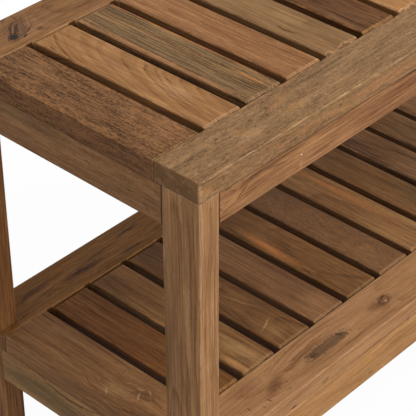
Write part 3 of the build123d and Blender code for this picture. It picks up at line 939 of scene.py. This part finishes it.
MARKS["top_slat_04"] = [
    top(-102.5, -54, 18, 1.7, "umber_grain", 0.9, 92, 0.6, bend=2.4),
    top(-86.5, -95, 20, 1.2, "sand_grain", 0.6, 90, 0.8),
    top(-72, -85, 16, 1.6, "sand_grain", 0.4, 96),
]

MARKS["top_slat_05"] = [
    top(-36, -80, 60, 4, "russet_grain", 0.5, 90),
    top(-50, -85, 40, 4, "umber", 0.5, 90),
    top(-14, -90, 25, 3, "ember_grain", 0.5, 90),
    top(-15, -109, 5, 2.6, "knot", 0.6, 10, 0.7),
]

MARKS["shelf_slat_02"] = [
    shelf(-206, 60, 70, 26, "russet", 0.25, 90),
    # Painted shade: the back of the slat is darker, under the top
    shelf(-220, 110, 85, 26, "russet_grain", 0.5, 90),
    shelf(-204, -90, 50, 16, "sand", 0.75, 90, 0.8),
    shelf(-224, -104, 38, 5.2, "golden", 1.0, 91, 0.7),
    shelf(-229, 12, 26, 2, "golden", 0.7, 90, 0.7),
    shelf(-211, -90, 30, 1.4, "tan_grain", 0.5, 90, 0.8),
]

MARKS["shelf_slat_03"] = [
    # Painted shade: the back of the slat is darker, under the top
    shelf(-150, 100, 60, 26, "umber_grain", 0.55, 90),
    shelf(-143, -28, 34, 2, "sand", 0.7, 104, 0.8, bend=0.8, push=4),
    shelf(-153, -79, 18, 2.4, "arris", 0.4, 22),
    shelf(-152, -95, 18, 16, "sand", 0.35, 30, 0.95),
    shelf(-165, -30, 40, 3, "umber_grain", 0.4, 86),
]

MARKS["shelf_slat_04"] = [
    shelf(-86, -98, 36, 24, "rosy", 0.65, 90),
    # Painted shade: the back of the slat is darker, under the top
    shelf(-88, 110, 80, 26, "umber_grain", 0.3, 90, 0.95),
    shelf(-97, -80, 44, 5, "umber_grain", 0.6, 90),
    shelf(-72, 0, 60, 2, "umber_grain", 0.3, 84),
]

MARKS["shelf_slat_05"] = [
    shelf(-45, 10, 70, 9, "ember", 0.9, 88, 0.95, bend=0.3),
    shelf(-7, 0, 50, 2.4, "ember", 0.5, 90),
    shelf(-24, -92, 30, 5, "umber_grain", 0.75, 118, push=5),
    shelf(-44, -70, 22, 2, "umber_grain", 0.5, 104),
]

MARKS["shelf_slat_07"] = [
    shelf(98, 20, 110, 10, "ember", 0.6, 90),
]

GRAIN_TURN = {"along x": (0, 0, 0), "along y": (0, 0, pi / 2), "along z": (0, pi / 2, 0)}

SLAT_PITCH = 58.818 * MM

# What is hidden in a groove or mortise at each end of a board
TONGUE = 8.8 * MM
SIDE_TENON = 14 * MM
END_TENON = 20 * MM

# Width of the planed bevel or rubbed line across each end of a board
SLAT_BEVEL = 4.9 * MM
END_BOARD_BEVEL = 1.3 * MM
LEG_BEVEL = 1.1 * MM

# How far apart two boards are in the noise, so that no two have the same grain
SEED_STEP = Vector((0.43, 0.29, 0.37))


def board_setting(name):
    """The grain, the hidden length at each end and the edges of a board, by its name."""
    facing = 1.0 if name.endswith(("front", "left")) else -1.0
    edges = {
        "End bevel": 0.0, "End grain": 0.0, "Sheltered": NO_SIDE, "Seam": 0.0, "Rubbed below": 0.0,
        "Gap pitch": 0.0,
    }
    if name.startswith("leg") or name.endswith("dowels"):
        return "along z", 0.0, edges | {"End bevel": LEG_BEVEL, "Rubbed below": 1.0}
    if "rail" in name:
        return "along x", 0.0, edges | {"End grain": 1.0, "Sheltered": facing, "Gap pitch": SLAT_PITCH}
    if "end_board" in name:
        return "along y", TONGUE, edges | {"End bevel": END_BOARD_BEVEL, "Sheltered": facing}
    if "slat" in name:
        return "along y", TONGUE, edges | {"End bevel": SLAT_BEVEL, "Sheltered": BOTH_SIDES}
    if name.endswith(("apron_front", "apron_back")):
        return "along x", SIDE_TENON, edges | {"Seam": 1.0}
    return "along y", END_TENON, edges | {"Seam": 1.0}


def teak_material(scene, name, board, number):
    """The material of one board."""
    tones, surface = scene.teak_tones, scene.teak_surface
    tone = {key: (*getattr(tones, key), 1) for key in TeakTones.__annotations__}
    grain, hidden_end, edge_inputs = board_setting(name)
    low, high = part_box(name)
    turn = Euler(GRAIN_TURN[grain])
    centre = (low + high) / 2
    half_size = Vector([abs(value) for value in turn.to_matrix() @ ((high - low) / 2)])
    half_size.x -= hidden_end
    seed = SEED_STEP * (number + 1)

    material = bpy.data.materials.new(f"{name}_teak")
    tree = empty_tree(material)
    place = add_node(tree, "ShaderNodeTexCoord").outputs["Object"]
    onto_board = {"Vector": place, "Location": -(turn.to_matrix() @ centre), "Rotation": turn}
    local = add_node(tree, "ShaderNodeMapping", onto_board).outputs[0]

    ragged = noise_shift(tree, place, OUTLINE_WAVES, 3, 0.6)
    mark_place = vector_calc(tree, "ADD", place, scaled(tree, ragged, surface.raggedness))
    uneven = noise(tree, place, SPECK_WAVES, 4, 0.75)
    covers = []
    swell = 0.0
    for mark in MARKS.get(name, ()):
        made = use_group(tree, "Wood mark", mark.inputs | {"Place": mark_place, "Uneven": uneven})
        covers.append((made["Cover"], tone[mark.tone]))
        if mark.inputs["Push"]:
            swell = calc(tree, "ADD", swell, made["Swell"])

    wood = use_group(
        tree,
        "Teak board",
        board.grain | {
            "Board": local, "Seed": seed, "Swell": swell, "Waviness": surface.waviness,
            "Light": tone[board.tone], "Grain": tone[board.tone + "_grain"], "Cast": tone[board.cast],
            "Tint": board.tint,
        },
    )
    now = wood["Color"]
    for cover, mark_tone in covers:
        now = mix(tree, cover, now, scaled(tree, mark_tone[:3], wood["Texture"]))
    edge_inputs["Seam"] *= board.seam * surface.dirt_and_shade
    arris = scaled(tree, tone["arris"][:3], wood["Texture"])
    edges = use_group(
        tree,
        "Board edges",
        edge_inputs | {
            "Color": now, "Arris": tinted(tree, arris, board.tint), "Board": local, "Half size": half_size,
            "Seed": seed, "Width": surface.wear_width, "Wear": surface.wear * board.wear,
            "Dirt": surface.dirt_and_shade, "Chipped": board.chipped,
            "End tone": tinted(tree, tone[board.tone], board.tint),
        },
    )
    bump = add_node(tree, "ShaderNodeBump", {"Height": wood["Height"], "Distance": surface.relief})
    finish = {
        "Base Color": edges["Color"], "Roughness": wood["Roughness"], "Normal": bump.outputs[0],
        "Specular IOR Level": surface.sheen,
    }
    shader = add_node(tree, "ShaderNodeBsdfPrincipled", finish)
    add_node(tree, "ShaderNodeOutputMaterial", {0: shader.outputs[0]})
    return material


def finish_boards(context, boards):
    """Gives each named board its own material."""
    groups = {"Teak board": make_teak_group, "Board edges": make_edge_group, "Wood mark": make_mark_group}
    for name, make in groups.items():
        if name not in bpy.data.node_groups:
            make()
    order = sorted(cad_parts)
    for name, board in boards.items():
        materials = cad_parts[name].data.materials
        materials.clear()
        materials.append(teak_material(context.scene, name, board, order.index(name)))


# Stage


# The lamps, each with where its light comes from and how soft its shadows are
LAMPS = {
    "key": ((0.3, -0.7, 1.0), 0.7),
    "front": ((0.1, -1.0, 0.12), 0.5),
    "fill": ((0.3, 0.9, 0.7), 1.0),
    "side": ((-0.9, -0.2, 0.45), 1.0),
}

# Colour of the floor under its glow
BLEACHED_PAPER = (0.9, 0.9, 0.9, 1)


def background_rays(tree):
    """One for the rays that should see the white background, zero for those that light the wood."""
    path = add_node(tree, "ShaderNodeLightPath").outputs
    seen = calc(tree, "MAXIMUM", path["Is Camera Ray"], path["Is Glossy Ray"])
    return calc(tree, "MAXIMUM", seen, path["Is Transmission Ray"])


def floor_material(look):
    """Paper that shows the shadow of the table and fades to white for the camera."""
    material = bpy.data.materials.new("floor_paper")
    tree = empty_tree(material)
    seen = background_rays(tree)
    paper = mix(tree, seen, (*look.floor, 1), BLEACHED_PAPER)
    diffuse = add_node(tree, "ShaderNodeBsdfDiffuse", {"Color": paper}).outputs[0]
    glow = add_node(tree, "ShaderNodeEmission", {"Color": WHITE, "Strength": 1.0}).outputs[0]
    faded = {0: calc(tree, "MULTIPLY", seen, look.floor_glow), 1: diffuse, 2: glow}
    mixed = add_node(tree, "ShaderNodeMixShader", faded)
    add_node(tree, "ShaderNodeOutputMaterial", {0: mixed.outputs[0]})
    return material


def white_room(look):
    """A room that is white to the camera, and lights the wood evenly."""
    world = bpy.data.worlds.new("white_room")
    tree = empty_tree(world)
    seen = add_node(tree, "ShaderNodeBackground", {"Color": WHITE, "Strength": 1.0}).outputs[0]
    light = add_node(tree, "ShaderNodeBackground", {"Color": WHITE, "Strength": look.room}).outputs[0]
    mixed = add_node(tree, "ShaderNodeMixShader", {0: background_rays(tree), 1: light, 2: seen})
    add_node(tree, "ShaderNodeOutputWorld", {0: mixed.outputs[0]})
    return world


# Operators


class BoardOperator:
    """What the operators for the boards share."""

    bl_options = {"REGISTER", "UNDO"}

    def execute(self, context):
        finish_boards(context, self.boards)
        return {"FINISHED"}


class TEAKTABLE_OT_finish_legs(BoardOperator, bpy.types.Operator):
    """Gives the four legs their straight, streaky grain"""

    bl_idname = "teaktable.finish_legs"
    bl_label = "Finish the legs"
    boards = LEGS


class TEAKTABLE_OT_finish_aprons(BoardOperator, bpy.types.Operator):
    """Gives the aprons under the top and the shelf their grain and marks"""

    bl_idname = "teaktable.finish_aprons"
    bl_label = "Finish the aprons"
    boards = APRONS


class TEAKTABLE_OT_finish_rails(BoardOperator, bpy.types.Operator):
    """Gives the long rails of the top and the shelf their grain, knots and cracks"""

    bl_idname = "teaktable.finish_rails"
    bl_label = "Finish the rails"
    boards = RAILS


class TEAKTABLE_OT_finish_end_boards(BoardOperator, bpy.types.Operator):
    """Gives the end boards of the top and the shelf their dry, open grain"""

    bl_idname = "teaktable.finish_end_boards"
    bl_label = "Finish the end boards"
    boards = END_BOARDS


class TEAKTABLE_OT_finish_slats(BoardOperator, bpy.types.Operator):
    """Gives each slat of the top and the shelf its own tone, grain and marks"""

    bl_idname = "teaktable.finish_slats"
    bl_label = "Finish the slats"
    boards = SLATS


class TEAKTABLE_OT_finish_dowels(BoardOperator, bpy.types.Operator):
    """Gives the hidden dowels a pale, straight grain"""

    bl_idname = "teaktable.finish_dowels"
    bl_label = "Finish the dowels"
    boards = DOWELS


class TEAKTABLE_OT_build_stage(bpy.types.Operator):
    """Makes the pale floor, the soft lamps and the white room"""

    bl_idname = "teaktable.build_stage"
    bl_label = "Build the stage"

    def execute(self, context):
        look = context.scene.teak_studio
        bpy.ops.object.select_all(action="DESELECT")
        bpy.ops.mesh.primitive_plane_add(size=look.floor_size)
        floor = context.object
        floor.name = "floor"
        floor.data.materials.append(floor_material(look))
        for name, (towards, softness) in LAMPS.items():
            lamp = bpy.data.lights.new(f"{name}_lamp", "SUN")
            lamp.energy = getattr(look, name)
            lamp.angle = softness
            sun = bpy.data.objects.new(f"{name}_lamp", lamp)
            sun.rotation_euler = Vector(towards).to_track_quat("Z", "Y").to_euler()
            context.scene.collection.objects.link(sun)
        context.scene.world = white_room(look)
        context.scene.view_settings.view_transform = "Standard"
        return {"FINISHED"}


class TEAKTABLE_OT_place_camera(bpy.types.Operator):
    """Places the camera above the front left corner"""

    bl_idname = "teaktable.place_camera"
    bl_label = "Place the camera"

    def execute(self, context):
        place = context.scene.teak_camera
        data = bpy.data.cameras.new("camera")
        data.sensor_width = place.sensor
        data.lens = place.lens
        camera = bpy.data.objects.new("camera", data)
        context.scene.collection.objects.link(camera)
        heading = Matrix.Rotation(place.heading - pi / 2, 4, "Z")
        turn = heading @ Matrix.Rotation(place.tilt + pi / 2, 4, "X") @ Matrix.Rotation(place.roll, 4, "Z")
        camera.matrix_world = Matrix.Translation(place.position) @ turn
        context.scene.camera = camera
        return {"FINISHED"}


OPERATORS = (
    TEAKTABLE_OT_place_camera,
    TEAKTABLE_OT_build_stage,
    TEAKTABLE_OT_finish_legs,
    TEAKTABLE_OT_finish_aprons,
    TEAKTABLE_OT_finish_rails,
    TEAKTABLE_OT_finish_end_boards,
    TEAKTABLE_OT_finish_slats,
    TEAKTABLE_OT_finish_dowels,
)

SETTINGS = {
    "teak_tones": TeakTones,
    "teak_surface": WoodSurface,
    "teak_studio": StudioLook,
    "teak_camera": CameraPlace,
}


class TEAKTABLE_PT_panel(bpy.types.Panel):
    """Lists the steps of the table and its settings"""

    bl_label = "Teak table"
    bl_space_type = "VIEW_3D"
    bl_region_type = "UI"
    bl_category = "Teak table"

    def draw(self, context):
        for operator in OPERATORS:
            self.layout.operator(operator.bl_idname)
        for name, group in SETTINGS.items():
            box = self.layout.box()
            for field in group.__annotations__:
                box.prop(getattr(context.scene, name), field)


def register():
    for item in (*SETTINGS.values(), *OPERATORS, TEAKTABLE_PT_panel):
        bpy.utils.register_class(item)
    for name, group in SETTINGS.items():
        setattr(bpy.types.Scene, name, PointerProperty(type=group))


def unregister():
    for name in SETTINGS:
        delattr(bpy.types.Scene, name)
    for item in (TEAKTABLE_PT_panel, *reversed(OPERATORS), *SETTINGS.values()):
        bpy.utils.unregister_class(item)


def main():
    register()
    bpy.ops.teaktable.place_camera()
    bpy.ops.teaktable.build_stage()
    bpy.ops.teaktable.finish_legs()
    bpy.ops.teaktable.finish_aprons()
    bpy.ops.teaktable.finish_rails()
    bpy.ops.teaktable.finish_end_boards()
    bpy.ops.teaktable.finish_slats()
    bpy.ops.teaktable.finish_dowels()


if __name__ == "__main__":
    main()
